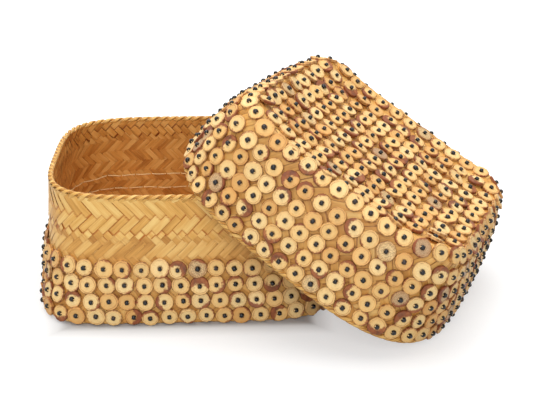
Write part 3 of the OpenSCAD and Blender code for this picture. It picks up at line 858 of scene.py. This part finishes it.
make_piece("base_rim_twist", "base", rim,
           twisted_rim(base_wall, base_h - 2.2, wall_t / 2, 44, 1.1, 1.7, 1.1, 16)
           + [rim_tucks(base_wall, base_round, wall_top + 0.4, 4.5, skin - 0.3, 17)], ["base_rim_braid"])
make_piece("lid_outer_weave", "lid", shaded_plait,
           plaited_wall(lid_wall, lid_round, 0.5, lid_wall_way, skin, plain_runs, 21, wave=lid_wave)
           + [lining_sheet(lid_wall, 0.5, lid_wall_way, core)], ["lid_outer_plait"])
make_piece("lid_top_weave", "lid", shaded_plait,
           plaited_panel(lid_top, top_a, top_b, top_square, 0.95, skin + 0.3, 22, side=1)
           + [lining_panel(lid_top, top_a, top_b, top_square, 0.95, core + 0.3)])
make_piece("lid_inner_weave", "lid", liner,
           plaited_wall(lid_wall, lid_round, 0.5, lid_wall_way, liner_skin, plain_runs, 23, side=-1,
                        wave=flat_wave, pitch=lining_pitch)
           + [lining_sheet(lid_wall, 0.5, lid_wall_way, liner_core, side=-1)], ["lid_inner_plait"])
make_piece("lid_inside_top", "lid", liner,
           plaited_panel(lid_top, top_a, top_b, top_square, 0.93, liner_skin, 24, side=-1)
           + [lining_panel(lid_top, top_a, top_b, top_square, 0.95, liner_core, side=-1)])
make_piece("lid_rim_twist", "lid", rim,
           resting(twisted_rim(lid_wall, cord_way, cord_depth, 44, 0.95, 1.6, 1.05, 25)), ["lid_rim_cord"])

# Disks tip like shingles on the walls, and either way on the top
wall_tip = -0.1
wall_spread = 0.08
top_spread = 0.1
foot_row = "base_{}_row_4"
last_row = "lid_{}_row_6"
# The base's lowest row hangs a little higher and tips in with the round of the foot, which shows under it
foot_row_up = 0.5
foot_row_in = 0.8
foot_row_tip = 0.18
rows = [("base", f"base_{{}}_row_{k}", 31 + 3 * k, up, None) for k in (1, 2, 3, 4)]
rows += [("lid", f"lid_{{}}_row_{k}", 51 + 3 * k, lid_up_axis, None) for k in (1, 2, 3, 4, 5, 6)]
rows += [("lid", "lid_top_{}", 81, lid_up_axis, lid_x_axis)]
for body, name, seed, axis, along in rows:
    axes = lid_axes if body == "lid" else np.eye(3)
    home = lid_home if body == "lid" else np.zeros(3)
    at = seats(name.format("disks"), name.format("beads"), axis, along)
    if name == foot_row:
        shift = foot_row_up * up - foot_row_in * at["out"]
        at = dict(at, disk=at["disk"] + shift, bead=at["bead"] + shift)
    if name == last_row:
        at = over_the_edge(at)
    if along is not None:
        local = (at["disk"] - lid_home) @ lid_axes
        outward = (top_spread_out - 1) * local[:, :2] @ lid_axes[:, :2].T
        backward = top_back_out * np.clip(local[:, 1:2] / local[:, 1].max(), 0, 1) ** 4 * lid_axes[:, 1]
        at = dict(at, disk=at["disk"] + outward + backward, bead=at["bead"] + outward + backward)
    disk_r = close_disk_r if body == "base" or along is not None else lid_disk_r
    tip, spread_tip = (wall_tip, wall_spread) if along is None else (0, top_spread)
    if name == foot_row:
        tip = foot_row_tip
    disks, lifted = shell_disks(at, seed, disk_r, tip, spread_tip)
    following = next_round(at, axes, home) if along is None else next_along(at, axes, home)
    make_piece(name.format("shell_disks"), body, shell, resting([disks]),
               [name.format("disks")], sharp=38)
    make_piece(name.format("seed_beads"), body, seed_black, [seed_beads(lifted, seed + 1)],
               [name.format("beads")])
    make_piece(name.format("stitches"), body, thread, [sewing_thread(lifted, following, seed + 2)],
               [name.format("thread")])

# Camera, from the fit of the part's own points to the picture: turn, rise and roll, and the part's place before it
view_turn = math.radians(-4.61)
view_rise = math.radians(20.94)
view_roll = math.radians(-0.68)
view_place = np.array([-68.56, -46.15, -821.19])
focal_pixels = 1031.97
image_width = 550
sensor_mm = 36

right = np.array([math.cos(view_turn), math.sin(view_turn), 0])
back = np.array([math.sin(view_turn) * math.cos(view_rise), -math.cos(view_turn) * math.cos(view_rise),
                 math.sin(view_rise)])
rolled = np.array([[math.cos(view_roll), -math.sin(view_roll), 0],
                   [math.sin(view_roll), math.cos(view_roll), 0],
                   [0, 0, 1]]) @ np.array([right, np.cross(back, right), back])
lens = bpy.data.cameras.new("camera")
lens.sensor_width = sensor_mm
lens.lens = focal_pixels * sensor_mm / image_width
lens.clip_end = 20
camera = bpy.data.objects.new("camera", lens)
bpy.context.scene.collection.objects.link(camera)
pose = np.eye(4)
pose[:3, :3] = rolled.T
pose[:3, 3] = -rolled.T @ view_place * MM
camera.matrix_world = pose.T.tolist()
bpy.context.scene.camera = camera

# Floor: pale, and seen as pure white away from the part, so that only the part's shadow shows on it
floor_mesh = bpy.data.meshes.new("floor")
floor_half = 6
floor_mesh.from_pydata([(-floor_half, -floor_half, 0), (floor_half, -floor_half, 0), (floor_half, floor_half, 0),
                        (-floor_half, floor_half, 0)], [], [(0, 1, 2, 3)])
floor = bpy.data.objects.new("floor", floor_mesh)
bpy.context.scene.collection.objects.link(floor)
pale = Finish("pale_floor")
ground = pale.add("ShaderNodeTexCoord", {}, "Object")
speck = pale.noise(ground, (40.0, 40.0, 40.0))
away = pale.add("ShaderNodeVectorMath", {0: ground}, "Value", operation="LENGTH")
pale.shade(Base_Color=(0.5, 0.5, 0.5, 1.0), Roughness=pale.band(speck, 0.3, 0.7, 0.85, 0.95), Specular_IOR_Level=0.0)
rays = pale.add("ShaderNodeLightPath", {}, "Is Camera Ray").node.outputs
seen = pale.sum("MAXIMUM", rays["Is Camera Ray"], rays["Is Glossy Ray"])
seen = pale.sum("MAXIMUM", seen, rays["Is Transmission Ray"])
# Close to the base's foot the floor glows less: a painted contact shadow along the line where they meet
ways = pale.add("ShaderNodeSeparateXYZ", {"Vector": ground})
along_x = pale.sum("ADD", pale.sum("ABSOLUTE", ways, 0.0), 20 * MM)
beside = pale.sum("MAXIMUM", along_x, pale.sum("ABSOLUTE", ways.node.outputs["Y"], 0.0))
foot_shadow_factor = pale.sum("MULTIPLY", pale.band(beside, base_b * MM, (base_b + 22) * MM, 0.45, 1.0),
                 pale.band(beside, base_b * MM, (base_b + 8) * MM, 0.1, 1.0))
glow = pale.sum("MULTIPLY", seen, pale.sum("MULTIPLY", foot_shadow_factor, pale.band(away, 0.1, 0.5, 0.5, 0.8)))
pale.shade(Emission_Color=(1.0, 1.0, 1.0, 1.0), Emission_Strength=glow)
floor_mesh.materials.append(pale.material)

# Light: an even pale sky, with a wide soft lamp above and a little behind, and a weaker one in front
world = bpy.data.worlds.new("studio")
bpy.context.scene.world = world
world.use_nodes = True
sky = world.node_tree.nodes["Background"]
path = world.node_tree.nodes.new("ShaderNodeLightPath")
shown = path.outputs["Is Camera Ray"]
for ray in ("Is Glossy Ray", "Is Transmission Ray"):
    either = world.node_tree.nodes.new("ShaderNodeMath")
    either.operation = "MAXIMUM"
    world.node_tree.links.new(shown, either.inputs[0])
    world.node_tree.links.new(path.outputs[ray], either.inputs[1])
    shown = either.outputs[0]
strength = world.node_tree.nodes.new("ShaderNodeMapRange")
# The sky is weaker towards the right, as in a room that is lit from the left
sky_left = 0.48
sky_right = 0.32
direction = world.node_tree.nodes.new("ShaderNodeTexCoord")
sideways = world.node_tree.nodes.new("ShaderNodeSeparateXYZ")
level = world.node_tree.nodes.new("ShaderNodeMapRange")
level.inputs["From Min"].default_value = -1.0
level.inputs["To Min"].default_value = sky_left
level.inputs["To Max"].default_value = sky_right
world.node_tree.links.new(direction.outputs["Generated"], sideways.inputs["Vector"])
world.node_tree.links.new(sideways.outputs["X"], level.inputs["Value"])
world.node_tree.links.new(level.outputs[0], strength.inputs["To Min"])
strength.inputs["To Max"].default_value = 1.0
world.node_tree.links.new(shown, strength.inputs["Value"])
world.node_tree.links.new(strength.outputs[0], sky.inputs["Strength"])
sky.inputs["Color"].default_value = (1.0, 1.0, 1.0, 1.0)


def soft_lamp(name, place, aim, size, watts):
    """Square area lamp at a place, turned to a point."""
    data = bpy.data.lights.new(name, "AREA")
    data.size = size
    data.energy = watts
    lamp = bpy.data.objects.new(name, data)
    bpy.context.scene.collection.objects.link(lamp)
    away = np.array(place) - np.array(aim)
    away = away / np.linalg.norm(away)
    side = np.cross([0.0, 0.0, 1.0], away)
    side = side / np.linalg.norm(side)
    turned = np.eye(4)
    turned[:3, :3] = np.stack([side, np.cross(away, side), away], 1)
    turned[:3, 3] = place
    lamp.matrix_world = turned.T.tolist()


soft_lamp("key_lamp", (-0.05, 0.3, 1.9), (0.05, 0.0, 0.05), 2.0, 37)
soft_lamp("fill_lamp", (-0.15, -1.8, 1.1), (0.05, 0.0, 0.05), 1.2, 17.5)

bpy.context.scene.view_settings.view_transform = "Standard"
